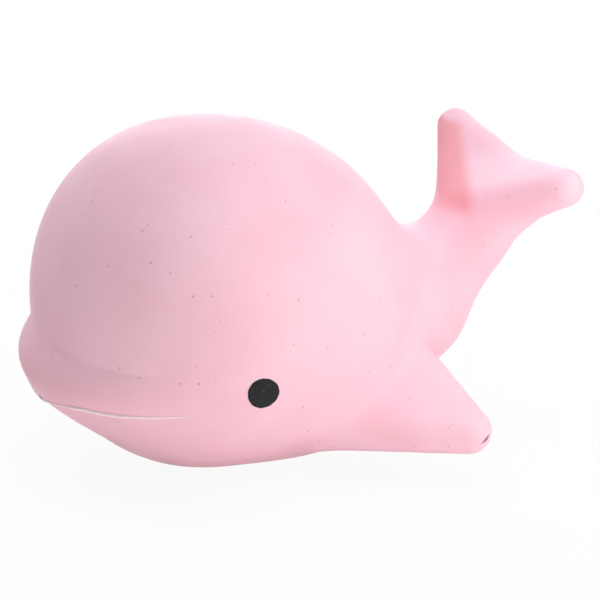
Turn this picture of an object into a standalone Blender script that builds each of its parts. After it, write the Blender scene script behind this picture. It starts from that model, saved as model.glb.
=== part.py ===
"""Squishy dolphin: a slow-rise foam toy with a domed head, a lip, two flippers and a raised tail.

Metres, +Z up, the nose towards -Y and the toy's left side towards +X. The origin is in the middle
of the flat patch of belly that the toy rests on.
"""

import math

import bmesh
import bpy
import numpy as np
from mathutils import Matrix, Vector

MM = 0.001

# Head bulb: how far it reaches from its widest point, and how much of it the flat belly takes off
BULB_Y = -7.0 * MM
BULB_HALF_WIDTH = 38.3 * MM
BULB_FRONT = 37.1 * MM
BULB_REAR = 43.9 * MM
BULB_UP = 39.6 * MM
BULB_DOWN = 36.7 * MM
BELLY_FLAT = 1.5 * MM

# Flank: the cone that carries the bulb back to the tail root, and the fillet between the two
FLANK_Y = 14.4 * MM
FLANK_RADIUS = 26.7 * MM
FLANK_FLAT = 0.7 * MM
FLANK_FILLET = 13.0 * MM

# Tail stock: a cone from its ball-shaped root up to the flukes
TAIL_ROOT_Y = 40.3 * MM
TAIL_ROOT_Z = 28.0 * MM
TAIL_ROOT_RADIUS = 13.8 * MM
TAIL_RUN = 20.7 * MM
TAIL_RISE = 14.6 * MM
TAIL_END_RADIUS = 8.0 * MM
TAIL_RIM_AHEAD = 3.6 * MM
TAIL_RIM_WIDTH = 3.0 * MM

# Flukes, from the middle of the tail end: leading edge, notch and tips, as steps back and up
LEADING_BACK = -6.1 * MM
LEADING_UP = 0.3 * MM
NOTCH_BACK = 8.7 * MM
NOTCH_UP = 8.8 * MM
TIP_OUT = 23.8 * MM
TIP_BACK = 5.4 * MM
TIP_UP = 15.2 * MM
FLUKE_ROOT_OUT = 8.0 * MM
FLUKE_HALF_THICKNESS = 4.9 * MM

# Flippers: the two ends of the root line on the flank, how proud each stands, and the tip
FLIPPER_FRONT_Y = 10.1 * MM
FLIPPER_FRONT_Z = 10.4 * MM
FLIPPER_FRONT_PROUD = -2.0 * MM
FLIPPER_REAR_Y = 35.0 * MM
FLIPPER_REAR_Z = 21.0 * MM
FLIPPER_REAR_PROUD = 4.1 * MM
FLIPPER_REACH_OUT = 15.5 * MM
FLIPPER_SWEEP_BACK = 29.1 * MM
FLIPPER_ROOT_HALF_THICKNESS = 5.3 * MM
FLIPPER_TIP_HALF_THICKNESS = 3.7 * MM

# Upper lip: a round ridge along the front of the bulb, thinning towards the mouth corners
LIP_RADIUS = 8.5 * MM
LIP_CORNER_RADIUS = 2.4 * MM
LIP_BULGE = 4.6 * MM
LIP_CORNER_SINK = 0.6 * MM
MOUTH_HEIGHT = 17.4 * MM
MOUTH_SMILE = 3.6 * MM
MOUTH_HALF_ANGLE = math.radians(69.0)

# Printed eyes: a thin disc of ink in a shallow seat
EYE_RADIUS = 3.55 * MM
EYE_Y = -8.2 * MM
EYE_Z = 26.7 * MM
EYE_THICKNESS = 0.6 * MM
EYE_PROUD = 0.15 * MM
EYE_EDGE = 0.1 * MM

# Skin, crown and clearances
SKIN = 1.5 * MM
CROWN_RADIUS = 24.0 * MM
CROWN_TILT = math.radians(15.0)
GAP = 0.3 * MM
SOCKET_GAP = 0.45 * MM

# How far each fin bends from rest, raised and lowered
FLIPPER_SWING = (math.radians(40.0), math.radians(-20.0))
TAIL_SWING = (math.radians(25.0), math.radians(-25.0))
FLUKE_SWING = (math.radians(25.0), math.radians(-25.0))

# Facets
BODY_SEGMENTS = 32
BODY_RINGS = 24
BALL_SEGMENTS = 16
BALL_RINGS = 10
TAIL_SEGMENTS = 28
TAIL_RINGS = 16
CROWN_SEGMENTS = 40
EYE_SEGMENTS = 28
EYE_EDGE_SEGMENTS = 2
LIP_SEGMENTS = 24
LIP_RESOLUTION = 3
SHARP_ANGLE = math.radians(40.0)

# Finenesses of the shaping: halvings of a ray, step of a slope and width of a weld
HALVINGS = 40
SLOPE_STEP = 0.1 * MM
WELD = 0.03 * MM

SIDES = {"left": 1.0, "right": -1.0}

# Points worked out from the sizes above
BULB_CENTRE = np.array((0.0, BULB_Y, BULB_DOWN - BELLY_FLAT))
BULB_REACH_LOW = np.array((BULB_HALF_WIDTH, BULB_FRONT, BULB_DOWN))
BULB_REACH_HIGH = np.array((BULB_HALF_WIDTH, BULB_REAR, BULB_UP))
FLANK_START = np.array((0.0, FLANK_Y, FLANK_RADIUS - FLANK_FLAT))
TAIL_ROOT = Vector((0.0, TAIL_ROOT_Y, TAIL_ROOT_Z))
TAIL_END = TAIL_ROOT + Vector((0.0, TAIL_RUN, TAIL_RISE))
TAIL_AXIS = Vector((1.0, 0.0, 0.0))
CROWN_AXIS = Vector((0.0, -math.sin(CROWN_TILT), math.cos(CROWN_TILT)))
OVERALL = BULB_FRONT + BULB_REAR + TAIL_RUN + BULB_UP


def soft_union(first, second, fillet):
    """Nearer of two distances, with a fillet where they meet."""
    closeness = np.maximum(fillet - np.abs(first - second), 0.0) / fillet
    return np.minimum(first, second) - closeness**3 * fillet / 6.0


def bulb_form(points):
    """Distance from the head bulb, an egg whose reach differs towards each side."""
    offset = points - BULB_CENTRE
    reach = np.where(offset > 0.0, BULB_REACH_HIGH, BULB_REACH_LOW)
    share = np.linalg.norm(offset / reach, axis=1)
    slope = np.linalg.norm(offset / reach**2, axis=1)
    return share * (share - 1.0) / slope


def cone_form(points, start, end, start_radius, end_radius):
    """Distance from a cone with a ball at each end."""
    run = np.array(end) - np.array(start)
    length = np.linalg.norm(run)
    offset = points - np.array(start)
    along = offset @ run / length
    across = np.sqrt(np.maximum((offset**2).sum(axis=1) - along**2, 0.0))
    taper = (start_radius - end_radius) / length
    place = (along - across * taper / math.sqrt(1.0 - taper**2)) / length
    place = np.clip(place, 0.0, 1.0)
    radius = start_radius + place * (end_radius - start_radius)
    return np.hypot(along - place * length, across) - radius


def body_form(points, inset=0.0):
    """Distance from the body without its fins, flat under the belly, drawn in by the inset."""
    flank = cone_form(points, FLANK_START, TAIL_ROOT, FLANK_RADIUS, TAIL_ROOT_RADIUS)
    trunk = soft_union(bulb_form(points), flank, FLANK_FILLET)
    return np.maximum(trunk, -points[:, 2]) + inset


def reach_along(starts, rays, form):
    """How far each ray runs from inside the form to its surface."""
    near = np.zeros(len(rays))
    far = np.full(len(rays), OVERALL)
    for _ in range(HALVINGS):
        middle = (near + far) / 2.0
        inside = form(starts + rays * middle[:, None]) < 0.0
        near = np.where(inside, middle, near)
        far = np.where(inside, far, middle)
    return near


def on_flank(y, z, proud=0.0):
    """The point of the body's left flank at this place along it and this height."""
    start = np.array([[0.0, y, z]])
    reach = reach_along(start, np.array([[1.0, 0.0, 0.0]]), body_form)
    return Vector((reach[0] + proud, y, z))


def flank_normal(point):
    """Direction square to the body's surface at this point."""
    steps = np.eye(3) * SLOPE_STEP
    rise = body_form(np.array(point) + steps) - body_form(np.array(point) - steps)
    return Vector(rise).normalized()


def mirrored(point, side):
    return Vector((side * point.x, point.y, point.z))


def new_collection(name):
    collection = bpy.data.collections.new(name)
    bpy.context.scene.collection.children.link(collection)
    return collection


def new_material(name, colour, roughness):
    material = bpy.data.materials.new(name)
    material.use_nodes = True
    shader = material.node_tree.nodes["Principled BSDF"]
    shader.inputs["Base Color"].default_value = (*colour, 1.0)
    shader.inputs["Roughness"].default_value = roughness
    shader.inputs["Metallic"].default_value = 0.0
    return material


def add_object(name, bm, collection, pivot=Vector()):
    """An object of this mesh, which is given in world places, with its origin at the pivot."""
    bmesh.ops.translate(bm, vec=-pivot, verts=bm.verts)
    mesh = bpy.data.meshes.new(name)
    bm.to_mesh(mesh)
    bm.free()
    mesh.shade_smooth()
    mesh.set_sharp_from_angle(angle=SHARP_ANGLE)
    obj = bpy.data.objects.new(name, mesh)
    obj.location = pivot
    collection.objects.link(obj)
    return obj


def add_cutter(name, bm):
    cutter = add_object(name, bm, CUTTERS)
    cutter.hide_render = True
    cutter.display_type = "WIRE"
    return cutter


def boolean(obj, operation, *others):
    for other in others:
        modifier = obj.modifiers.new(f"{operation.lower()}_{other.name}", "BOOLEAN")
        modifier.operation = operation
        modifier.solver = "EXACT"
        modifier.object = other


def cut_at_once(obj, cutters):
    """Takes all these cutters out of the object in one cut."""
    group = bpy.data.collections.new(f"{obj.name}_cutters")
    CUTTERS.children.link(group)
    for cutter in cutters:
        group.objects.link(cutter)
    modifier = obj.modifiers.new("cuts", "BOOLEAN")
    modifier.operation = "DIFFERENCE"
    modifier.solver = "EXACT"
    modifier.operand_type = "COLLECTION"
    modifier.collection = group


def body_mesh(inset):
    """A sphere with its poles at nose and tail, its points pulled out to the body's form."""
    bm = bmesh.new()
    turn = Matrix.Rotation(math.pi / 2.0, 4, "X")
    bmesh.ops.create_uvsphere(
        bm, u_segments=BODY_SEGMENTS, v_segments=BODY_RINGS, radius=1.0, matrix=turn
    )
    rays = np.array([vertex.co for vertex in bm.verts])
    starts = np.tile(FLANK_START, (len(rays), 1))
    reach = reach_along(starts, rays, lambda points: body_form(points, inset))
    for vertex, place in zip(bm.verts, starts + rays * reach[:, None]):
        vertex.co = place
    return bm


def hull_mesh(balls, pole, grow=0.0, segments=BALL_SEGMENTS, rings=BALL_RINGS):
    """The skin stretched over some balls, each a centre and a radius."""
    turn = Vector((0.0, 0.0, 1.0)).rotation_difference(pole).to_matrix().to_4x4()
    bm = bmesh.new()
    for centre, radius in balls:
        bmesh.ops.create_uvsphere(
            bm,
            u_segments=segments,
            v_segments=rings,
            radius=radius + grow,
            matrix=Matrix.Translation(centre) @ turn,
        )
    points = [vertex.co.copy() for vertex in bm.verts]
    bm.clear()
    for point in points:
        bm.verts.new(point)
    bmesh.ops.convex_hull(bm, input=bm.verts)
    inner = [vertex for vertex in bm.verts if not vertex.link_faces]
    bmesh.ops.delete(bm, geom=inner, context="VERTS")
    bmesh.ops.recalc_face_normals(bm, faces=bm.faces)
    return bm


def disc_mesh(centre, axis, radius, depth, segments):
    """A round disc whose middle is at the centre."""
    bm = bmesh.new()
    turn = Vector((0.0, 0.0, 1.0)).rotation_difference(axis).to_matrix().to_4x4()
    bmesh.ops.create_cone(
        bm,
        cap_ends=True,
        segments=segments,
        radius1=radius,
        radius2=radius,
        depth=depth,
        matrix=Matrix.Translation(centre) @ turn,
    )
    return bm


def swung(bm, pivot, axis, angle):
    """The mesh turned by this angle round the hinge."""
    turn = Matrix.Rotation(angle, 3, axis)
    bmesh.ops.rotate(bm, cent=pivot, matrix=turn, verts=bm.verts)
    return bm


def socket_cutters(name, root, balls, pole, pivot, axis, swing, segments, rings):
    """Cutters that seat a fin's round root and leave room for the fin at both ends of its swing."""
    facets = {"segments": segments, "rings": rings}
    cutters = [add_cutter(f"{name}_seat", hull_mesh(root, pole, SOCKET_GAP, **facets))]
    for end, angle in zip(("raised", "lowered"), swing):
        room = swung(hull_mesh(balls, pole, GAP, **facets), pivot, axis, angle)
        cutters.append(add_cutter(f"{name}_{end}", room))
    return cutters


class Fin:
    """A flipper or a fluke: balls at the two ends of its root line and at its tip."""

    def __init__(self, name, front, rear, tip, root_radius, tip_radius, side, swing):
        self.name = name
        self.root = [(front, root_radius), (rear, root_radius)]
        self.balls = [*self.root, (tip, tip_radius)]
        self.pivot = (front + rear) / 2.0
        self.pole = (rear - front).normalized()
        self.axis = -side * self.pole
        self.swing = swing

    def solid(self):
        return add_object(self.name, hull_mesh(self.balls, self.pole), PARTS, self.pivot)

    def cutters(self):
        return socket_cutters(
            self.name,
            self.root,
            self.balls,
            self.pole,
            self.pivot,
            self.axis,
            self.swing,
            BALL_SEGMENTS,
            BALL_RINGS,
        )


def flipper(name, side):
    front = on_flank(FLIPPER_FRONT_Y, FLIPPER_FRONT_Z, FLIPPER_FRONT_PROUD)
    rear = on_flank(FLIPPER_REAR_Y, FLIPPER_REAR_Z, FLIPPER_REAR_PROUD)
    tip = front + Vector((FLIPPER_REACH_OUT, FLIPPER_SWEEP_BACK, 0.0))
    return Fin(
        f"{name}_flipper",
        mirrored(front, side),
        mirrored(rear, side),
        mirrored(tip, side),
        FLIPPER_ROOT_HALF_THICKNESS,
        FLIPPER_TIP_HALF_THICKNESS,
        side,
        FLIPPER_SWING,
    )


LEADING_POINT = TAIL_END + Vector((0.0, LEADING_BACK, LEADING_UP))
NOTCH_POINT = TAIL_END + Vector((0.0, NOTCH_BACK, NOTCH_UP))
FLUKE_TIP = TAIL_END + Vector((TIP_OUT, TIP_BACK, TIP_UP))
ROOT_SHARE = FLUKE_ROOT_OUT / TIP_OUT
FLUKE_ROOT_FRONT = LEADING_POINT.lerp(FLUKE_TIP, ROOT_SHARE)
FLUKE_ROOT_REAR = NOTCH_POINT.lerp(FLUKE_TIP, ROOT_SHARE)


def fluke(name, side):
    return Fin(
        f"{name}_fluke",
        mirrored(FLUKE_ROOT_FRONT, side),
        mirrored(FLUKE_ROOT_REAR, side),
        mirrored(FLUKE_TIP, side),
        FLUKE_HALF_THICKNESS,
        FLUKE_HALF_THICKNESS,
        side,
        FLUKE_SWING,
    )


TAIL_BALLS = [(TAIL_ROOT, TAIL_ROOT_RADIUS), (TAIL_END, TAIL_END_RADIUS)]
TAIL_POLE = (TAIL_END - TAIL_ROOT).normalized()


def tail_stock(flukes):
    """The tail's cone, joined to the middle of the flukes and hollowed for the two lobes."""
    stalk = hull_mesh(TAIL_BALLS, TAIL_POLE, segments=TAIL_SEGMENTS, rings=TAIL_RINGS)
    stock = add_object("tail_stock", stalk, PARTS, TAIL_ROOT)
    corners = [LEADING_POINT, NOTCH_POINT]
    for side in SIDES.values():
        corners += [mirrored(FLUKE_ROOT_FRONT, side), mirrored(FLUKE_ROOT_REAR, side)]
    web = hull_mesh([(corner, FLUKE_HALF_THICKNESS) for corner in corners], TAIL_AXIS)
    boolean(stock, "UNION", add_cutter("fluke_web", web))
    cut_at_once(stock, [cutter for fin in flukes for cutter in fin.cutters()])
    return stock


def tail_cutters():
    """The tail's socket in the body: a blunt rim just ahead of the root, then the round seat."""
    rim = disc_mesh(
        TAIL_ROOT + TAIL_POLE * (OVERALL / 2.0 - TAIL_RIM_AHEAD),
        TAIL_POLE,
        TAIL_ROOT_RADIUS + TAIL_RIM_WIDTH,
        OVERALL,
        CROWN_SEGMENTS,
    )
    return [add_cutter("tail_rim", rim)] + socket_cutters(
        "tail",
        TAIL_BALLS[:1],
        TAIL_BALLS,
        TAIL_POLE,
        TAIL_ROOT,
        TAIL_AXIS,
        TAIL_SWING,
        TAIL_SEGMENTS,
        TAIL_RINGS,
    )


def crown_cylinder(name, radius):
    """A cylinder along the crown's travel, from the middle of the bulb out past its top."""
    foot = Vector(BULB_CENTRE)
    return add_cutter(
        name,
        disc_mesh(foot + CROWN_AXIS * OVERALL / 2.0, CROWN_AXIS, radius, OVERALL, CROWN_SEGMENTS),
    )


def eye_place(side):
    point = on_flank(EYE_Y, EYE_Z)
    return mirrored(point, side), mirrored(flank_normal(point), side)


def eye(name, side):
    """A disc that stands a little proud of the skin, with its edge rounded."""
    point, normal = eye_place(side)
    middle = point + normal * (EYE_PROUD - EYE_THICKNESS / 2.0)
    disc = disc_mesh(middle, normal, EYE_RADIUS, EYE_THICKNESS, EYE_SEGMENTS)
    obj = add_object(f"{name}_eye", disc, PARTS)
    bevel = obj.modifiers.new("rounded_edge", "BEVEL")
    bevel.width = EYE_EDGE
    bevel.segments = EYE_EDGE_SEGMENTS
    return obj


def eye_seat(name, side):
    point, normal = eye_place(side)
    floor = EYE_PROUD - EYE_THICKNESS - GAP
    top = EYE_THICKNESS
    disc = disc_mesh(
        point + normal * (floor + top) / 2.0, normal, EYE_RADIUS + GAP, top - floor, EYE_SEGMENTS
    )
    return add_cutter(f"{name}_eye_seat", disc)


def lip_radius(share):
    """Half height of the lip ridge, from one mouth corner at -1 to the other at 1."""
    return LIP_RADIUS + (LIP_CORNER_RADIUS - LIP_RADIUS) * share**2


def lip_point(share):
    """Centre of the lip ridge, which rests on the mouth line."""
    radius = lip_radius(share)
    angle = share * MOUTH_HALF_ANGLE
    height = MOUTH_HEIGHT + MOUTH_SMILE * share**2 + radius
    level = math.sqrt(1.0 - ((height - BULB_CENTRE[2]) / BULB_DOWN) ** 2)
    bulge = LIP_BULGE - (LIP_BULGE + LIP_CORNER_SINK) * share**2
    inward = radius - bulge
    across = (BULB_HALF_WIDTH * level - inward) * math.sin(angle)
    ahead = (BULB_FRONT * level - inward) * math.cos(angle)
    return Vector((across, BULB_CENTRE[1] - ahead, height))


def upper_lip(body_outside):
    """A round bar bent along the front of the bulb, with what lies inside the bulb cut away."""
    curve = bpy.data.curves.new("lip_bar", "CURVE")
    curve.dimensions = "3D"
    curve.bevel_depth = LIP_RADIUS
    curve.bevel_resolution = LIP_RESOLUTION
    curve.use_fill_caps = True
    spline = curve.splines.new("POLY")
    spline.points.add(LIP_SEGMENTS)
    for index, point in enumerate(spline.points):
        share = 2.0 * index / LIP_SEGMENTS - 1.0
        point.co = (*lip_point(share), 1.0)
        point.radius = lip_radius(share) / LIP_RADIUS
    bar = bpy.data.objects.new("lip_bar", curve)
    PARTS.objects.link(bar)
    graph = bpy.context.evaluated_depsgraph_get()
    mesh = bpy.data.meshes.new_from_object(bar.evaluated_get(graph))
    bm = bmesh.new()
    bm.from_mesh(mesh)
    bmesh.ops.remove_doubles(bm, verts=bm.verts, dist=WELD)
    bmesh.ops.recalc_face_normals(bm, faces=bm.faces)
    bpy.data.objects.remove(bar)
    lip = add_object("upper_lip", bm, PARTS)
    boolean(lip, "DIFFERENCE", body_outside)
    return lip


def build():
    foam = new_material("pink_foam", (0.95, 0.62, 0.72), 0.55)
    inner_foam = new_material("core_foam", (0.96, 0.74, 0.79), 0.85)
    ink = new_material("eye_ink", (0.025, 0.026, 0.03), 0.45)

    flippers = [flipper(name, side) for name, side in SIDES.items()]
    flukes = [fluke(name, side) for name, side in SIDES.items()]
    sockets = tail_cutters()
    for fin in flippers:
        sockets += fin.cutters()

    inside = add_cutter("skin_inside", body_mesh(SKIN))
    outside = add_cutter("skin_clearance", body_mesh(-GAP))
    skin = add_object("body_skin", body_mesh(0.0), PARTS)
    seats = [eye_seat(name, side) for name, side in SIDES.items()]
    opening = crown_cylinder("crown_opening", CROWN_RADIUS + GAP)
    cut_at_once(skin, [inside, opening, *seats, *sockets])

    crown = add_object("crown_skin", body_mesh(0.0), PARTS)
    boolean(crown, "DIFFERENCE", inside)
    boolean(crown, "INTERSECT", crown_cylinder("crown_edge", CROWN_RADIUS))

    core = add_object("foam_core", body_mesh(SKIN + GAP), PARTS)
    cut_at_once(core, sockets)

    soft = [skin, crown, upper_lip(outside), tail_stock(flukes)]
    soft += [fin.solid() for fin in (*flippers, *flukes)]
    eyes = [eye(name, side) for name, side in SIDES.items()]
    for objects, material in ((soft, foam), ([core], inner_foam), (eyes, ink)):
        for obj in objects:
            obj.data.materials.append(material)


for old in list(bpy.data.objects):
    bpy.data.objects.remove(old, do_unlink=True)
PARTS = new_collection("squishy_dolphin")
CUTTERS = new_collection("cutters")
build()
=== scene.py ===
import math

import bmesh
import bpy
import numpy as np
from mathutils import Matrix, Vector


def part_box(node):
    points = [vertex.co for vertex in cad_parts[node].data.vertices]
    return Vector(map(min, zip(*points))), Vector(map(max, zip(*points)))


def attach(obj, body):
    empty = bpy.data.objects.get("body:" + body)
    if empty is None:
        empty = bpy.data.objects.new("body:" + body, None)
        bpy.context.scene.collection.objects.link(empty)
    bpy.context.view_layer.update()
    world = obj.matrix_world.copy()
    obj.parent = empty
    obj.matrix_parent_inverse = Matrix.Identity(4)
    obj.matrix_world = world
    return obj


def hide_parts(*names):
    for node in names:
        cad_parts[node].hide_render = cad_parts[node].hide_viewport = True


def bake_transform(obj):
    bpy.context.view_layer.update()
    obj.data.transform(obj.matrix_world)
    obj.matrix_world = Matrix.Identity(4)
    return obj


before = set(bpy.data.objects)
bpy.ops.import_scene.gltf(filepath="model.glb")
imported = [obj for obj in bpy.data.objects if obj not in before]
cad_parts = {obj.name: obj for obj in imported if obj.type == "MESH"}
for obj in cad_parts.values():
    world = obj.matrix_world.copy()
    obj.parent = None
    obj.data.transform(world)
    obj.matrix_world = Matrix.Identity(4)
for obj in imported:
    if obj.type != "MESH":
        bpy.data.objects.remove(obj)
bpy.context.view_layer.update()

# Sizes are in millimetres, in the row frame: +Z up, the nose towards -Y, the toy's left side +X
MM = 0.001

# Head bulb
BULB_CENTRE = np.array((0.0, -7.5, 35.9))
BULB_REACH_LOW = np.array((38.5, 36.1, 36.5))
BULB_REACH_HIGH = np.array((38.5, 44.5, 38.8))
BULB_FULLNESS = 2.09

# Flank and tail: cones that carry the bulb back and up to the heart of the flukes
FLANK_START = np.array((0.0, 13.8, 26.6))
TAIL_ROOT = np.array((0.0, 40.7, 27.8))
TAIL_END = np.array((0.0, 58.6, 42.0))
FLUKE_HEART = np.array((0.0, 64.9, 47.7))
FLANK_RADIUS = 28.2
TAIL_ROOT_RADIUS = 13.9
TAIL_END_RADIUS = 7.3
FLUKE_HEART_RADIUS = 6.95
FLANK_FILLET = 14.4
TAIL_FILLET = 7.3

# Flukes: a blade over three balls on each side, braced from the tail
FLUKE_CORNERS = ((0.0, 56.6, 46.0), (0.0, 67.7, 52.5), (26.9, 66.9, 58.7))
FLUKE_RADII = (6.5, 5.8, 4.1)
FLUKE_FILLET = 7.7
BRACE_ROOT = np.array((3.0, 52.7, 37.1))
BRACE_END = np.array((15.0, 66.3, 53.9))
BRACE_RADII = (6.0, 3.6)
BRACE_FILLET = 6.0
MIDDLE_ROUNDING = 3.5

# Flippers: a blade over three balls on each side
FLIPPER_CORNERS = ((23.7, 10.2, 11.2), (23.2, 34.1, 20.05), (38.3, 38.8, 11.0))
FLIPPER_RADII = (5.0, 5.15, 5.0)
FLIPPER_FILLET = 6.0
BLADE_THINNEST = 1.0

# Lip and mouth, by the angle round the bulb from the middle of the nose
MOUTH_HALF_ANGLE = math.radians(70.0)
MOUTH_HEIGHT = 18.4
MOUTH_LIFT = 2.6
MOUTH_LEVEL = 0.43
MOUTH_SMILE = 1.7
MOUTH_SMILE_END = 1.3
CREASE_HEIGHT = 31.8
CREASE_DIP = 2.4
LIP_BULGE = 4.8
LIP_EDGE = 0.93
LIP_FULLEST = 0.29
LIP_ROUNDING = 1.2
LIP_FADE = (0.08, 1.02)
CHIN_DEPTH = 11.2
CHIN_CURVE = 1.4

# Belly
BELLY_EDGE = 1.0

# Meshing
STEP = 0.6
BLOCK = 6
NEAR = 7.0
MARGIN = 4.3
SETTLING = 3
SLOPE_STEP = 0.05
SLOPE_LEAST = 0.05
TINY = 1e-6
CAP_DEPTH = 2.0


def left_half(points):
    """The points, with those of the right side mirrored to the left."""
    half = points.copy()
    half[:, 0] = np.abs(half[:, 0])
    return half


def soft_min(first, second, fillet):
    """Nearer of two distances, with a fillet where they meet."""
    closeness = np.maximum(fillet - np.abs(first - second), 0.0) / fillet
    return np.minimum(first, second) - closeness**3 * fillet / 6.0


def smooth_step(low, high, value):
    share = np.clip((value - low) / (high - low), 0.0, 1.0)
    return share * share * (3.0 - 2.0 * share)


def bulb(points):
    """Distance from the head bulb, an egg a little fuller than an ellipsoid."""
    offset = points - BULB_CENTRE
    reach = np.where(offset > 0.0, BULB_REACH_HIGH, BULB_REACH_LOW)
    ratio = np.abs(offset) / reach
    power = BULB_FULLNESS - 1.0
    share = np.maximum((ratio**BULB_FULLNESS).sum(axis=1), TINY) ** (1.0 / BULB_FULLNESS)
    slope = np.linalg.norm((ratio / share[:, None]) ** power / reach, axis=1)
    return (share - 1.0) / slope


def cone(points, start, end, start_radius, end_radius):
    """Distance from a cone with a ball at each end."""
    run = end - start
    length = np.linalg.norm(run)
    offset = points - start
    along = offset @ run / length
    across = np.sqrt(np.maximum((offset**2).sum(axis=1) - along**2, 0.0))
    taper = (start_radius - end_radius) / length
    place = (along - across * taper / math.sqrt(1.0 - taper**2)) / length
    place = np.clip(place, 0.0, 1.0)
    radius = start_radius + place * (end_radius - start_radius)
    return np.hypot(along - place * length, across) - radius


def blade(points, corners, radii):
    """Distance from a blade stretched over three balls."""
    a, b, c = (np.array(corner) for corner in corners)
    normal = np.cross(b - a, c - a)
    area = normal @ normal
    offset = points - a
    share_b = offset @ np.cross(c - a, normal) / area
    share_c = offset @ np.cross(normal, b - a) / area
    share_a = 1.0 - share_b - share_c
    over = (share_a >= 0.0) & (share_b >= 0.0) & (share_c >= 0.0)
    flat = np.abs(offset @ normal) / math.sqrt(area)
    edges = [cone(points, start, end, 0.0, 0.0) for start, end in ((a, b), (b, c), (c, a))]
    radius = share_a * radii[0] + share_b * radii[1] + share_c * radii[2]
    return np.where(over, flat, np.minimum.reduce(edges)) - np.maximum(radius, BLADE_THINNEST)


def mouth_share(points):
    """Place along the mouth, from 0 at the nose to 1 at either corner."""
    angle = np.arctan2(np.abs(points[:, 0]), BULB_CENTRE[1] - points[:, 1])
    return angle / MOUTH_HALF_ANGLE


def mouth_height(share):
    near = np.minimum(share, MOUTH_SMILE_END)
    return MOUTH_HEIGHT + MOUTH_LIFT * smooth_step(0.0, MOUTH_LEVEL, near) + MOUTH_SMILE * near**4


def crease_height(share):
    """Height of the crease between the lip and the dome."""
    near = np.minimum(share, 1.0)
    return CREASE_HEIGHT - CREASE_DIP * near * (1.0 - near)


def lip_swell(points):
    """How far the lip stands out: full above the mouth, gone at the crease and under the chin."""
    share = mouth_share(points)
    low = mouth_height(share)
    height = crease_height(share) - low
    rise = (points[:, 2] - low) / height
    filling = LIP_EDGE + (1.0 - LIP_EDGE) * smooth_step(0.0, LIP_FULLEST, rise)
    past = np.clip((rise - LIP_FULLEST) / (1.0 - LIP_FULLEST), 0.0, 1.0)
    over = filling * (1.0 - past**2) ** LIP_ROUNDING
    under = LIP_EDGE * np.clip(1.0 + rise * height / CHIN_DEPTH, 0.0, 1.0) ** CHIN_CURVE
    fade = 1.0 - smooth_step(*LIP_FADE, share)
    return LIP_BULGE * fade * np.where(rise > 0.0, over, under)


def trunk(points):
    flank = cone(points, FLANK_START, TAIL_ROOT, FLANK_RADIUS, TAIL_ROOT_RADIUS)
    tail = cone(points, TAIL_ROOT, TAIL_END, TAIL_ROOT_RADIUS, TAIL_END_RADIUS)
    heart = cone(points, TAIL_END, FLUKE_HEART, TAIL_END_RADIUS, FLUKE_HEART_RADIUS)
    tail = soft_min(tail, heart, TAIL_FILLET)
    return soft_min(bulb(points), soft_min(flank, tail, TAIL_FILLET), FLANK_FILLET)


def toy(points):
    """Distance from the whole toy's skin."""
    half = points.copy()
    half[:, 0] = np.hypot(half[:, 0], MIDDLE_ROUNDING)
    body = trunk(points) - lip_swell(points)
    fluke = blade(half, FLUKE_CORNERS, FLUKE_RADII)
    brace = cone(half, BRACE_ROOT, BRACE_END, *BRACE_RADII)
    body = soft_min(body, soft_min(fluke, brace, BRACE_FILLET), FLUKE_FILLET)
    body = soft_min(body, blade(half, FLIPPER_CORNERS, FLIPPER_RADII), FLIPPER_FILLET)
    return -soft_min(-body, points[:, 2], BELLY_EDGE)


def slope_of(form, points):
    steps = np.eye(3) * SLOPE_STEP
    return np.stack(
        [(form(points + step) - form(points - step)) / (2.0 * SLOPE_STEP) for step in steps],
        axis=1,
    )


def normals_of(form, points):
    slope = slope_of(form, points)
    return slope / np.linalg.norm(slope, axis=1, keepdims=True)


def settled(form, points, level=0.0):
    """The points moved square to the surface until they lie on it."""
    for _ in range(SETTLING):
        slope = slope_of(form, points)
        steep = np.maximum((slope**2).sum(axis=1), SLOPE_LEAST)
        move = ((form(points) - level) / steep)[:, None] * slope
        length = np.linalg.norm(move, axis=1, keepdims=True)
        points = points - move * np.minimum(1.0, STEP / np.maximum(length, TINY))
    return points


def sampled(form, low, blocks):
    """The form's distance on a grid, exact near the surface and rough elsewhere."""
    index = np.indices(blocks).reshape(3, -1).T
    rough = form(low + (index * BLOCK + (BLOCK - 1) / 2.0) * STEP)
    values = rough.reshape(blocks)
    for axis in range(3):
        values = np.repeat(values, BLOCK, axis=axis)
    inner = np.indices((BLOCK,) * 3).reshape(3, -1).T
    near = index[np.abs(rough) < NEAR]
    places = (near[:, None] * BLOCK + inner[None]).reshape(-1, 3)
    values[tuple(places.T)] = form(low + places * STEP)
    return values


def crossed_edges(values, axis):
    """Where the surface crosses the grid's edges along an axis, and the four cells round each."""
    ahead = np.delete(values, 0, axis=axis)
    behind = np.delete(values, -1, axis=axis)
    places = np.argwhere((behind < 0.0) != (ahead < 0.0))
    start = behind[tuple(places.T)]
    stop = ahead[tuple(places.T)]
    points = places.astype(float)
    points[:, axis] += start / (start - stop)
    first, second = (axis + 1) % 3, (axis + 2) % 3
    ring = []
    for step_first, step_second in ((-1, -1), (0, -1), (0, 0), (-1, 0)):
        cell = places.copy()
        cell[:, first] += step_first
        cell[:, second] += step_second
        ring.append(np.ravel_multi_index(cell.T, values.shape))
    ring = np.stack(ring, axis=1)
    ring[start > 0.0] = ring[start > 0.0][:, ::-1]
    return points, ring


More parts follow.
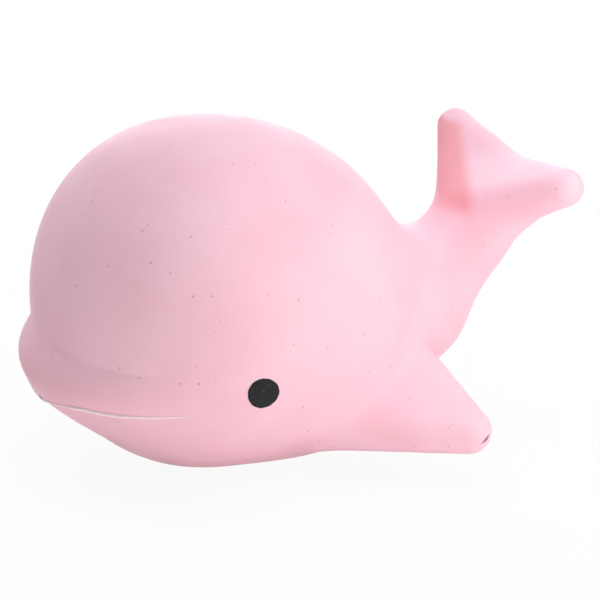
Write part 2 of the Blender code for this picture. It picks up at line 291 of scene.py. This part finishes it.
def surface(form, low, high):
    """Points and four-sided faces of the form's surface, facing out."""
    blocks = tuple(np.ceil((high - low) / (STEP * BLOCK)).astype(int))
    values = sampled(form, low, blocks)
    crossings, rings = zip(*(crossed_edges(values, axis) for axis in range(3)))
    faces = np.unique(np.concatenate(rings), return_inverse=True)[1].reshape(-1)
    places = np.repeat(np.concatenate(crossings), 4, axis=0)
    total = np.stack([np.bincount(faces, weights=column) for column in places.T], axis=1)
    count = np.bincount(faces)[:, None]
    return settled(form, low + total / count * STEP), faces.reshape(-1, 4)


def new_object(name, mesh):
    obj = bpy.data.objects.new(name, mesh)
    bpy.context.scene.collection.objects.link(obj)
    return obj


def smooth_mesh(name, bm):
    """A smooth mesh of the closed form, with its faces turned out."""
    bmesh.ops.recalc_face_normals(bm, faces=bm.faces)
    mesh = bpy.data.meshes.new(name)
    bm.to_mesh(mesh)
    bm.free()
    mesh.shade_smooth()
    return mesh


def turn_in(bm, normals):
    """Turns the piece's open rims in under the skin and closes them there."""
    rim = [edge for edge in bm.edges if edge.is_boundary]
    if not rim:
        return
    under = {}
    for edge in rim:
        for vert in edge.verts:
            if vert not in under:
                place = vert.co - Vector(normals[vert.index]) * CAP_DEPTH * MM
                under[vert] = bm.verts.new(place)
    inner = []
    for edge in rim:
        loop = edge.link_loops[0]
        first, second = loop.vert, loop.link_loop_next.vert
        face = bm.faces.new((second, first, under[first], under[second]))
        inner += [side for side in face.edges if side.is_boundary]
    inner = [edge for edge in set(inner) if edge.is_boundary]
    caps = bmesh.ops.holes_fill(bm, edges=inner, sides=0)["faces"]
    bmesh.ops.triangulate(bm, faces=caps)


# Painted shade: a coral tint that stands in for shade and for warm light bounced into and shining
# through the foam, on the front of the right lobe and, faintly, on the lip and at each flipper's root
LOBE_SHADE_WAY = np.array((0.372, 0.928, 0.0))
LOBE_SHADE_EDGE = (51.0, 54.5)
LOBE_SHADE_FOOT = (47.0, 51.0)
LOBE_SHADE_TOP = (60.3, 61.8)
LOBE_SHADE_START_Y = (47.0, 49.0)
LOBE_SHADE_FACE = np.array((0.10, -0.55, 0.83))
LOBE_SHADE_TURN = (0.35, 0.8)
ROOT_SHADE_LINE = (np.array((33.0, 19.5, 13.0)), np.array((36.5, 24.5, 11.0)))
ROOT_SHADE_EDGE = (0.0, 7.0)
ROOT_PAINTED_SHADE = 0.2
LIP_PAINTED_SHADE = 0.2


def painted_shade_of(points, normals):
    """How much coral painted shade lies at each point, from 0 to 1."""
    # Painted shade and warm glow on the front face of the right lobe, the face turned towards the
    # dome
    lobe = 1.0 - smooth_step(*LOBE_SHADE_EDGE, points @ LOBE_SHADE_WAY)
    lobe *= smooth_step(*LOBE_SHADE_FOOT, points[:, 2])
    lobe *= 1.0 - smooth_step(*LOBE_SHADE_TOP, points[:, 2])
    lobe *= smooth_step(*LOBE_SHADE_START_Y, points[:, 1])
    lobe *= smooth_step(*LOBE_SHADE_TURN, normals @ LOBE_SHADE_FACE)
    # Painted shade in the hollow at each flipper's root
    root_near = cone(left_half(points), *ROOT_SHADE_LINE, 0.0, 0.0)
    root = 1.0 - smooth_step(*ROOT_SHADE_EDGE, root_near)
    # Painted shade on the lip, under the overhang of the dome
    lip = np.clip(lip_swell(points) / LIP_BULGE, 0.0, 1.0)
    return np.maximum.reduce([lobe, ROOT_PAINTED_SHADE * root, LIP_PAINTED_SHADE * lip])


def skin_piece(name, points, normals, faces):
    """A closed piece of the skin, capped inside where it meets its neighbours."""
    used, index = np.unique(faces, return_inverse=True)
    bm = bmesh.new()
    verts = [bm.verts.new(point * MM) for point in points[used]]
    for quad in index.reshape(-1, 4):
        bm.faces.new([verts[corner] for corner in quad])
    skin_faces = len(bm.faces)
    bm.verts.index_update()
    turn_in(bm, normals[used])
    mesh = bpy.data.meshes.new(name)
    bm.to_mesh(mesh)
    bm.free()
    mesh.shade_smooth()
    loops = np.zeros((len(mesh.loops), 3))
    corner = np.zeros(len(mesh.loops), int)
    mesh.loops.foreach_get("vertex_index", corner)
    loops[: skin_faces * 4] = normals[used][corner[: skin_faces * 4]]
    mesh.normals_split_custom_set(loops.tolist())
    # Painted shade, kept on the points for the foam material
    painted_shade = np.zeros(len(mesh.vertices))
    painted_shade[: len(used)] = painted_shade_of(points[used], normals[used])
    mesh.attributes.new("painted_shade", "FLOAT", "POINT").data.foreach_set("value", painted_shade)
    return new_object(name, mesh)


# Seams between the pieces, which lie where the neighbours move together; a fluke's is a slanted plane
TAIL_SEAM_Y = 40.0
FLUKE_WAY = np.array((0.894, 0.447, 0.0))
FLUKE_SEAM = 33.1
FLUKE_SEAM_Y = 50.0
FLIPPER_SEAM = 4.0
FLIPPER_SKIN = 3.0


def flipper_frame():
    """Middle of the flipper's root line and the way its blade runs out from it."""
    front, rear, tip = (np.array(corner) for corner in FLIPPER_CORNERS)
    middle = (front + rear) / 2.0
    line = (rear - front) / np.linalg.norm(rear - front)
    out = tip - middle
    out -= out @ line * line
    return middle, out / np.linalg.norm(out)


def regions(centres):
    """Which piece each face belongs to."""
    side = np.where(centres[:, 0] > 0.0, "left", "right")
    half = left_half(centres)
    middle, out = flipper_frame()
    blade_near = blade(half, FLIPPER_CORNERS, FLIPPER_RADII)
    flipper = ((half - middle) @ out > FLIPPER_SEAM) & (blade_near < FLIPPER_SKIN)
    tail = (centres[:, 1] > TAIL_SEAM_Y) & ~flipper
    fluke = tail & (half @ FLUKE_WAY > FLUKE_SEAM) & (centres[:, 1] > FLUKE_SEAM_Y)
    names = np.full(len(centres), "body", dtype="<U16")
    names[tail] = "tail"
    names = np.where(fluke, np.char.add(side, "_fluke"), names)
    return np.where(flipper, np.char.add(side, "_flipper"), names)


# Colours, as linear light
PINK = (0.94, 0.595, 0.685)
PINK_DEEP = (0.91, 0.545, 0.63)
# Coral of the painted shade and warm glow on the right lobe, the lip and the flipper roots
SHADE_CORAL = (0.86, 0.355, 0.40)
PIT_PINK = (0.56, 0.20, 0.27)
# Paler pink of the mouth flash, lightened further as a painted highlight along its ridge
FLASH_PINK_AND_HIGHLIGHT = (0.99, 0.78, 0.83)
TORN_DARK = (0.22, 0.13, 0.13)
TORN_PINK = (0.62, 0.36, 0.40)
INK = (0.018, 0.019, 0.021)
INK_WORN = (0.045, 0.046, 0.050)

# Foam skin: noise scales are per metre, and each relief is the depth of its bump in metres
GRAIN_SCALE = 1300.0
GRAIN_DETAIL = 3.0
GRAIN_SHARE = 0.6
MOTTLE_SCALE = 45.0
MOTTLE_DETAIL = 3.0
MOTTLE_RANGE = (0.35, 0.7)
PIT_SCALE = 600.0
PIT_SIZE = 0.22
PIT_COUNT = 0.28
PIT_EDGE = (1.0, 0.4)
PIT_COLOURING = 0.6
PIT_DEPTH = 0.5
SHEEN_SCALE = 120.0
SHEEN_RANGE = (0.3, 0.7)
FOAM_ROUGHNESS = (0.46, 0.58)
FOAM_SPECULAR = 0.2
FOAM_RELIEF = 0.00012

# Mouth flash, torn stub and eye print
RAGGED_SCALE = 260.0
RAGGED_DETAIL = 1.0
RAGGED_RANGE = (0.66, 0.72)
FLASH_ROUGHNESS = 0.45
FLASH_RELIEF = 0.00008
TORN_SCALE = 900.0
TORN_RANGE = (0.4, 0.6)
TORN_ROUGHNESS = 0.7
TORN_RELIEF = 0.0001
WEAR_SCALE = 1500.0
WEAR_RANGE = (0.55, 0.8)
INK_ROUGHNESS = 0.5
INK_SPECULAR = 0.12
INK_RELIEF = 0.00006


class Nodes:
    """Short calls for building the nodes of a material or the world."""

    def __init__(self, owner, shader="Principled BSDF"):
        owner.use_nodes = True
        self.owner = owner
        self.tree = owner.node_tree
        self.shader = self.tree.nodes[shader]
        self.place = self.add("ShaderNodeTexCoord").outputs["Object"]

    def add(self, kind, **settings):
        node = self.tree.nodes.new(kind)
        for key, value in settings.items():
            setattr(node, key, value)
        return node

    def link(self, output, socket):
        self.tree.links.new(output, socket)

    def noise(self, scale, detail=2.0):
        node = self.add("ShaderNodeTexNoise")
        node.inputs["Scale"].default_value = scale
        node.inputs["Detail"].default_value = detail
        self.link(self.place, node.inputs["Vector"])
        return node.outputs["Fac"]

    def ramp(self, value, low, high, to_low=0.0, to_high=1.0):
        node = self.add("ShaderNodeMapRange", interpolation_type="SMOOTHSTEP")
        for key, number in (
            ("From Min", low),
            ("From Max", high),
            ("To Min", to_low),
            ("To Max", to_high),
        ):
            node.inputs[key].default_value = number
        self.link(value, node.inputs["Value"])
        return node.outputs["Result"]

    def maths(self, operation, first, second):
        node = self.add("ShaderNodeMath", operation=operation)
        for socket, value in zip(node.inputs, (first, second)):
            if isinstance(value, float):
                socket.default_value = value
            else:
                self.link(value, socket)
        return node.outputs["Value"]

    def mix(self, share, first, second):
        node = self.add("ShaderNodeMix", data_type="RGBA")
        self.link(share, node.inputs["Factor"])
        for socket, value in ((node.inputs["A"], first), (node.inputs["B"], second)):
            if isinstance(value, tuple):
                socket.default_value = (*value, 1.0)
            else:
                self.link(value, socket)
        return node.outputs["Result"]

    def seen(self):
        """1 for rays from the camera and for reflections of the backdrop, 0 for light."""
        path = self.add("ShaderNodeLightPath").outputs
        most = self.maths("MAXIMUM", path["Is Camera Ray"], path["Is Glossy Ray"])
        return self.maths("MAXIMUM", most, path["Is Transmission Ray"])

    def set(self, name, value):
        self.shader.inputs[name].default_value = value

    def drive(self, name, output):
        self.link(output, self.shader.inputs[name])

    def grain(self):
        return self.noise(GRAIN_SCALE, GRAIN_DETAIL)

    def bump(self, height, distance):
        node = self.add("ShaderNodeBump")
        node.inputs["Distance"].default_value = distance
        self.link(height, node.inputs["Height"])
        self.drive("Normal", node.outputs["Normal"])


def pits(nodes):
    """1 in small round pits strewn over the skin, 0 elsewhere."""
    cells = nodes.add("ShaderNodeTexVoronoi")
    cells.inputs["Scale"].default_value = PIT_SCALE
    nodes.link(nodes.place, cells.inputs["Vector"])
    split = nodes.add("ShaderNodeSeparateColor")
    nodes.link(cells.outputs["Color"], split.inputs["Color"])
    here = nodes.maths("LESS_THAN", split.outputs["Red"], PIT_COUNT)
    wide = nodes.maths("MULTIPLY", split.outputs["Green"], PIT_SIZE)
    edge = nodes.maths("DIVIDE", cells.outputs["Distance"], wide)
    return nodes.maths("MULTIPLY", nodes.ramp(edge, *PIT_EDGE), here)


def foam_material():
    nodes = Nodes(bpy.data.materials.new("pink_foam"))
    mottle = nodes.ramp(nodes.noise(MOTTLE_SCALE, MOTTLE_DETAIL), *MOTTLE_RANGE)
    colour = nodes.mix(mottle, PINK, PINK_DEEP)
    # Coral painted shade mixed over the foam's own colour
    painted_shade = nodes.add("ShaderNodeAttribute", attribute_name="painted_shade").outputs["Fac"]
    colour = nodes.mix(painted_shade, colour, SHADE_CORAL)
    small = pits(nodes)
    colour = nodes.mix(nodes.maths("MULTIPLY", small, PIT_COLOURING), colour, PIT_PINK)
    nodes.drive("Base Color", colour)
    nodes.drive("Roughness", nodes.ramp(nodes.noise(SHEEN_SCALE), *SHEEN_RANGE, *FOAM_ROUGHNESS))
    nodes.set("Specular IOR Level", FOAM_SPECULAR)
    pit_depth = nodes.maths("MULTIPLY", small, PIT_DEPTH)
    grain = nodes.maths("MULTIPLY", nodes.grain(), GRAIN_SHARE)
    nodes.bump(nodes.maths("SUBTRACT", grain, pit_depth), FOAM_RELIEF)
    return nodes.owner


def flash_material():
    nodes = Nodes(bpy.data.materials.new("flash_foam"))
    ragged = nodes.ramp(nodes.noise(RAGGED_SCALE, RAGGED_DETAIL), *RAGGED_RANGE)
    # Pale pink, partly a painted highlight along the ridge, with ragged darker patches
    nodes.drive("Base Color", nodes.mix(ragged, FLASH_PINK_AND_HIGHLIGHT, PIT_PINK))
    nodes.set("Roughness", FLASH_ROUGHNESS)
    nodes.bump(nodes.grain(), FLASH_RELIEF)
    return nodes.owner


def torn_material():
    nodes = Nodes(bpy.data.materials.new("torn_foam"))
    patch = nodes.ramp(nodes.noise(TORN_SCALE), *TORN_RANGE)
    nodes.drive("Base Color", nodes.mix(patch, TORN_DARK, TORN_PINK))
    nodes.set("Roughness", TORN_ROUGHNESS)
    nodes.bump(nodes.grain(), TORN_RELIEF)
    return nodes.owner


def ink_material():
    nodes = Nodes(bpy.data.materials.new("eye_ink"))
    wear = nodes.ramp(nodes.noise(WEAR_SCALE), *WEAR_RANGE)
    nodes.drive("Base Color", nodes.mix(wear, INK, INK_WORN))
    nodes.set("Roughness", INK_ROUGHNESS)
    nodes.set("Specular IOR Level", INK_SPECULAR)
    nodes.bump(nodes.grain(), INK_RELIEF)
    return nodes.owner


OUTER_NODES = ("body_skin", "crown_skin", "upper_lip", "tail_stock")
OUTER_NODES += tuple(f"{side}_{limb}" for side in ("left", "right") for limb in ("flipper", "fluke"))
LOW = np.min([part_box(node)[0] for node in OUTER_NODES], axis=0) / MM - MARGIN
HIGH = np.max([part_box(node)[1] for node in OUTER_NODES], axis=0) / MM + MARGIN


def dress(obj, material):
    obj.data.materials.append(material)


def build_skin(foam):
    points, faces = surface(toy, LOW, HIGH)
    normals = normals_of(toy, points)
    names = regions(points[faces].mean(axis=1))
    pieces = {}
    for name in np.unique(names):
        pieces[name] = skin_piece(f"{name}_skin_foam", points, normals, faces[names == name])
        dress(pieces[name], foam)
    return pieces


def metres(point):
    return Vector(np.array(point) * MM)


def bend_pieces(pieces):
    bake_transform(pieces["body"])
    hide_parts("body_skin", "crown_skin", "foam_core", "upper_lip")
    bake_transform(pieces["tail"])
    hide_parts("tail_stock")
    middle, out = flipper_frame()
    for name, side in (("left", 1.0), ("right", -1.0)):
        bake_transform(pieces[f"{name}_fluke"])
        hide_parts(f"{name}_fluke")
        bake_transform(pieces[f"{name}_flipper"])
        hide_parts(f"{name}_flipper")


# Printed eyes
EYE_RADIUS = 3.36
EYE_STRETCH = 1.14
EYE_SLANT = math.radians(123.0)
EYE_RINGS = 10
EYE_SPOKES = 72
EYE_PROUD = 0.10
EYE_SUNK = -0.4
EYE_EDGE_WAVES = ((0.012, 3.0, 1.0), (0.008, 11.0, 0.0))
EYE_RIM_ANGLE = math.radians(40.0)


def eye_axes(centre):
    """The print's long and short ways, slanted alike on both sides of the head."""
    out = normals_of(toy, centre)[0]
    across = np.cross((0.0, 0.0, 1.0), out) * np.sign(out[0])
    across /= np.linalg.norm(across)
    up = np.cross(out, across) * np.sign(out[0])
    long = math.cos(EYE_SLANT) * across + math.sin(EYE_SLANT) * up
    short = math.cos(EYE_SLANT) * up - math.sin(EYE_SLANT) * across
    return long, short


def eye_rings(centre):
    """Rings of points round the eye's middle, the last of them with a slightly uneven edge."""
    long, short = eye_axes(centre)
    angles = np.linspace(0.0, 2.0 * math.pi, EYE_SPOKES, endpoint=False)
    waves = sum(depth * np.sin(count * angles + shift) for depth, count, shift in EYE_EDGE_WAVES)
    edge = EYE_RADIUS * (1.0 + waves)
    wheel = EYE_STRETCH * np.cos(angles)[:, None] * long + np.sin(angles)[:, None] * short
    shares = np.linspace(0.0, 1.0, EYE_RINGS + 1)[1:]
    return [centre[0] + share * edge[:, None] * wheel for share in shares]


def eye_mesh(name, centre):
    """A thin closed print that follows the skin."""
    rings = eye_rings(centre)
    tops = [settled(toy, ring, EYE_PROUD) for ring in rings]
    foot = settled(toy, rings[-1], EYE_SUNK)
    bm = bmesh.new()
    hub = bm.verts.new(settled(toy, centre, EYE_PROUD)[0] * MM)
    base = bm.verts.new(settled(toy, centre, EYE_SUNK)[0] * MM)
    loops = [[bm.verts.new(point * MM) for point in ring] for ring in (*tops, foot)]
    for spoke in range(EYE_SPOKES):
        after = (spoke + 1) % EYE_SPOKES
        bm.faces.new((hub, loops[0][spoke], loops[0][after]))
        bm.faces.new((base, loops[-1][after], loops[-1][spoke]))
        for inner, outer in zip(loops, loops[1:]):
            bm.faces.new((inner[spoke], outer[spoke], outer[after], inner[after]))
    return smooth_mesh(name, bm)


def eye(name, ink):
    low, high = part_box(f"{name}_eye")
    centre = settled(toy, np.array([(low + high) / 2.0]) / MM)
    mesh = eye_mesh(f"{name}_eye_print", centre)
    mesh.set_sharp_from_angle(angle=EYE_RIM_ANGLE)
    obj = new_object(f"{name}_eye_print", mesh)
    dress(obj, ink)
    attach(obj, "trunk")
    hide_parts(f"{name}_eye")


# Flash that the mould left: a thin ragged ridge along the mouth line
BEAD_SIDES = 8
WAVE_RATES = (9.0, 23.0, 47.0, 91.0)
SEED_TURN = 2.1
SEED_SHIFT = 1.7
BISECTIONS = 30
FLASH_POINTS = 260
FLASH_HALF_WIDTH = 0.5
FLASH_HEIGHT = 0.45
FLASH_END = 0.98
FLASH_PLACES = (0.0, 0.25, 0.42, 0.75, 0.98)
FLASH_SHARES = (0.55, 0.6, 1.0, 1.0, 0.4)
FLASH_TAPER = 6.0
FLASH_THINNEST = 0.02
FLASH_WIDTHS = (0.7, 1.1)
FLASH_HEIGHTS = (0.5, 1.1)
FLASH_SEEDS = (1.0, 2.0)


def uneven(places, seed, low, high):
    """Uneven values between low and high along a line."""
    waves = sum(
        math.cos(SEED_TURN * seed + turn) * np.sin(rate * places + SEED_SHIFT * seed * turn)
        for turn, rate in enumerate(WAVE_RATES, 1)
    )
    return low + (high - low) * (0.5 + 0.5 * np.tanh(waves))


def mouth_line():
    """Points of the skin along the mouth line, from the right corner to the left."""
    places = np.linspace(-FLASH_END, FLASH_END, FLASH_POINTS)
    angles = places * MOUTH_HALF_ANGLE
    heights = mouth_height(np.abs(places))
    level = np.zeros(len(places))
    starts = np.stack([level, level + BULB_CENTRE[1], heights], axis=1)
    rays = np.stack([np.sin(angles), -np.cos(angles), level], axis=1)
    near = level
    far = np.full(len(places), 2.0 * BULB_REACH_LOW[0])
    for _ in range(BISECTIONS):
        middle = (near + far) / 2.0
        inside = toy(starts + rays * middle[:, None]) < 0.0
        near = np.where(inside, middle, near)
        far = np.where(inside, far, middle)
    return places, starts + rays * near[:, None]


def bead(name, points, normals, widths, heights):
    """A closed flattened bead along a line on the skin."""
    ahead = np.gradient(points, axis=0)
    ahead /= np.linalg.norm(ahead, axis=1, keepdims=True)
    across = np.cross(normals, ahead)
    bm = bmesh.new()
    rings = []
    for point, out, side, width, height in zip(points, normals, across, widths, heights):
        ring = []
        for turn in range(BEAD_SIDES):
            angle = 2.0 * math.pi * turn / BEAD_SIDES
            place = point + side * width * math.cos(angle) + out * height * math.sin(angle)
            ring.append(bm.verts.new(place * MM))
        rings.append(ring)
    for first, second in zip(rings, rings[1:]):
        for turn in range(BEAD_SIDES):
            after = (turn + 1) % BEAD_SIDES
            bm.faces.new((first[turn], first[after], second[after], second[turn]))
    bm.faces.new(rings[0])
    bm.faces.new(rings[-1])
    return new_object(name, smooth_mesh(name, bm))


def mouth_flash(foam):
    places, points = mouth_line()
    normals = normals_of(toy, points + (0.0, 0.0, SLOPE_STEP))
    ends = np.clip((FLASH_END - np.abs(places)) * FLASH_TAPER, FLASH_THINNEST, 1.0)
    ends *= np.interp(np.abs(places), FLASH_PLACES, FLASH_SHARES)
    widths = FLASH_HALF_WIDTH * ends * uneven(places, FLASH_SEEDS[0], *FLASH_WIDTHS)
    heights = FLASH_HEIGHT * ends * uneven(places, FLASH_SEEDS[1], *FLASH_HEIGHTS)
    obj = bead("mouth_flash", points, normals, widths, heights)
    dress(obj, foam)
    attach(obj, "trunk")


# Torn stub of flash at the left flipper's tip
STUB_ENDS = ((42.0, 41.8, 11.5), (42.9, 39.2, 9.5))
STUB_POINTS = 24
STUB_HALF_WIDTH = 0.28
STUB_HEIGHT = 0.22
STUB_THINNEST = 0.05
STUB_SIZES = (0.5, 1.5)
STUB_SEEDS = (3.0, 4.0)


def flipper_stub(torn):
    places = np.linspace(0.0, 1.0, STUB_POINTS)
    start, end = (np.array(place) for place in STUB_ENDS)
    points = settled(toy, start + places[:, None] * (end - start))
    normals = normals_of(toy, points)
    ends = np.maximum(np.sin(math.pi * places), STUB_THINNEST)
    widths = STUB_HALF_WIDTH * ends * uneven(places, STUB_SEEDS[0], *STUB_SIZES)
    heights = STUB_HEIGHT * ends * uneven(places, STUB_SEEDS[1], *STUB_SIZES)
    obj = bead("left_flipper_stub", points, normals, widths, heights)
    dress(obj, torn)
    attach(obj, "left_fin")


# Camera
AIM = np.array((0.0, 0.0, 35.0))
AZIMUTH = math.radians(68.13)
ELEVATION = math.radians(19.43)
DISTANCE = 600.0
AIM_RIGHT = 14.8
AIM_UP = -1.36
LENS = 165.6
SENSOR = 36.0
CLIP_START = 0.01


def view_axes(azimuth, elevation):
    """Right, up and back of a camera that looks at the toy from this way."""
    sin_a, cos_a = math.sin(azimuth), math.cos(azimuth)
    sin_e, cos_e = math.sin(elevation), math.cos(elevation)
    right = np.array((cos_a, sin_a, 0.0))
    up = np.array((-sin_a * sin_e, cos_a * sin_e, cos_e))
    back = np.array((sin_a * cos_e, -cos_a * cos_e, sin_e))
    return right, up, back


def set_camera():
    right, up, back = view_axes(AZIMUTH, ELEVATION)
    place = AIM + back * DISTANCE
    target = AIM + right * AIM_RIGHT + up * AIM_UP
    data = bpy.data.cameras.new("camera")
    data.lens = LENS
    data.sensor_width = SENSOR
    data.clip_start = CLIP_START
    camera = new_object("camera", data)
    camera.location = metres(place)
    camera.rotation_euler = metres(target - place).to_track_quat("-Z", "Y").to_euler()
    bpy.context.scene.camera = camera


def area_light(name, aim, azimuth, elevation, distance, size, power, colour, spread):
    """A soft lamp, as wide and as high as its size says, turned towards its aim."""
    _, _, back = view_axes(math.radians(azimuth), math.radians(elevation))
    data = bpy.data.lights.new(name, "AREA")
    data.shape = "RECTANGLE"
    data.size, data.size_y = size
    data.energy = power
    data.color = colour
    data.spread = math.radians(spread)
    light = new_object(name, data)
    light.location = metres(np.array(aim) + back * distance / MM)
    light.rotation_euler = (-Vector(back)).to_track_quat("-Z", "Y").to_euler()


# Floor, in metres; it fades to plain white between two distances from the toy
FLOOR_HALF = 3.0
FLOOR_WHITE = (0.93, 0.93, 0.93)
FLOOR_PALE = (0.95, 0.95, 0.95)
FLOOR_SCALE = 8.0
FLOOR_RANGE = (0.3, 0.7)
FLOOR_ROUGHNESS = 0.9
FLOOR_WHITENING = 0.93
FLOOR_FADE = (0.1, 0.3)


def whiten(nodes):
    """The floor looks white to the camera and in reflections, with a faint shadow near the toy."""
    away = nodes.add("ShaderNodeVectorMath", operation="LENGTH")
    nodes.link(nodes.place, away.inputs["Vector"])
    share = nodes.ramp(away.outputs["Value"], *FLOOR_FADE, FLOOR_WHITENING, 1.0)
    white = nodes.add("ShaderNodeEmission")
    white.inputs["Strength"].default_value = 1.0
    blend = nodes.add("ShaderNodeMixShader")
    nodes.link(nodes.maths("MULTIPLY", nodes.seen(), share), blend.inputs["Fac"])
    nodes.link(nodes.shader.outputs["BSDF"], blend.inputs[1])
    nodes.link(white.outputs["Emission"], blend.inputs[2])
    nodes.link(blend.outputs["Shader"], nodes.tree.nodes["Material Output"].inputs["Surface"])


def floor():
    bm = bmesh.new()
    bmesh.ops.create_grid(bm, x_segments=1, y_segments=1, size=FLOOR_HALF)
    mesh = bpy.data.meshes.new("floor")
    bm.to_mesh(mesh)
    bm.free()
    obj = new_object("floor", mesh)
    nodes = Nodes(bpy.data.materials.new("floor_paper"))
    shade = nodes.ramp(nodes.noise(FLOOR_SCALE), *FLOOR_RANGE)
    nodes.drive("Base Color", nodes.mix(shade, FLOOR_WHITE, FLOOR_PALE))
    nodes.set("Roughness", FLOOR_ROUGHNESS)
    nodes.set("Specular IOR Level", 0.0)
    whiten(nodes)
    obj.data.materials.append(nodes.owner)


# Light: each lamp has its name, aim, azimuth, elevation, distance, size, watts, colour and spread,
# with the angles in degrees, and the distance and size in metres
WORLD_LIGHT = 0.18
WORLD_TINT = (1.0, 0.88, 0.90)
WHITE = (1.0, 1.0, 1.0)
COOL = (0.86, 0.92, 1.0)
WARM = (1.0, 0.96, 0.90)
WIDE = 180.0
BANK = (0.7, 0.7)
CARD = (0.5, 0.04)
SPOT = (0.08, 0.08)
KICKER_AIM = (42.0, 72.0, 50.0)
LAMPS = (
    ("top", AIM, 0.0, 89.0, 0.9, BANK, 3.75, COOL, WIDE),
    ("tail_side", AIM, 158.0, 45.0, 0.9, BANK, 3.1, WHITE, WIDE),
    ("far_side", AIM, 293.0, 45.0, 0.9, BANK, 2.3, WHITE, WIDE),
    ("far_low", AIM, 248.0, 15.0, 0.9, BANK, 2.3, WHITE, WIDE),
    ("front_card", AIM, 75.0, -1.5, 0.4, CARD, 0.40, WARM, WIDE),
    ("rear_card", AIM, 125.0, -1.5, 0.4, CARD, 0.42, WARM, WIDE),
    ("fluke_kicker", KICKER_AIM, 52.0, 30.0, 0.35, SPOT, 0.0075, WHITE, 20.0),
)


def set_light():
    nodes = Nodes(bpy.data.worlds.new("studio"), "Background")
    seen = nodes.seen()
    nodes.drive("Color", nodes.mix(seen, WORLD_TINT, WHITE))
    nodes.drive("Strength", nodes.ramp(seen, 0.0, 1.0, WORLD_LIGHT, 1.0))
    bpy.context.scene.world = nodes.owner
    for lamp in LAMPS:
        area_light(*lamp)


foam = foam_material()
skin = build_skin(foam)
bend_pieces(skin)
ink = ink_material()
for eye_name in ("left", "right"):
    eye(eye_name, ink)
mouth_flash(flash_material())
flipper_stub(torn_material())
floor()
set_camera()
set_light()
bpy.context.scene.view_settings.view_transform = "Standard"
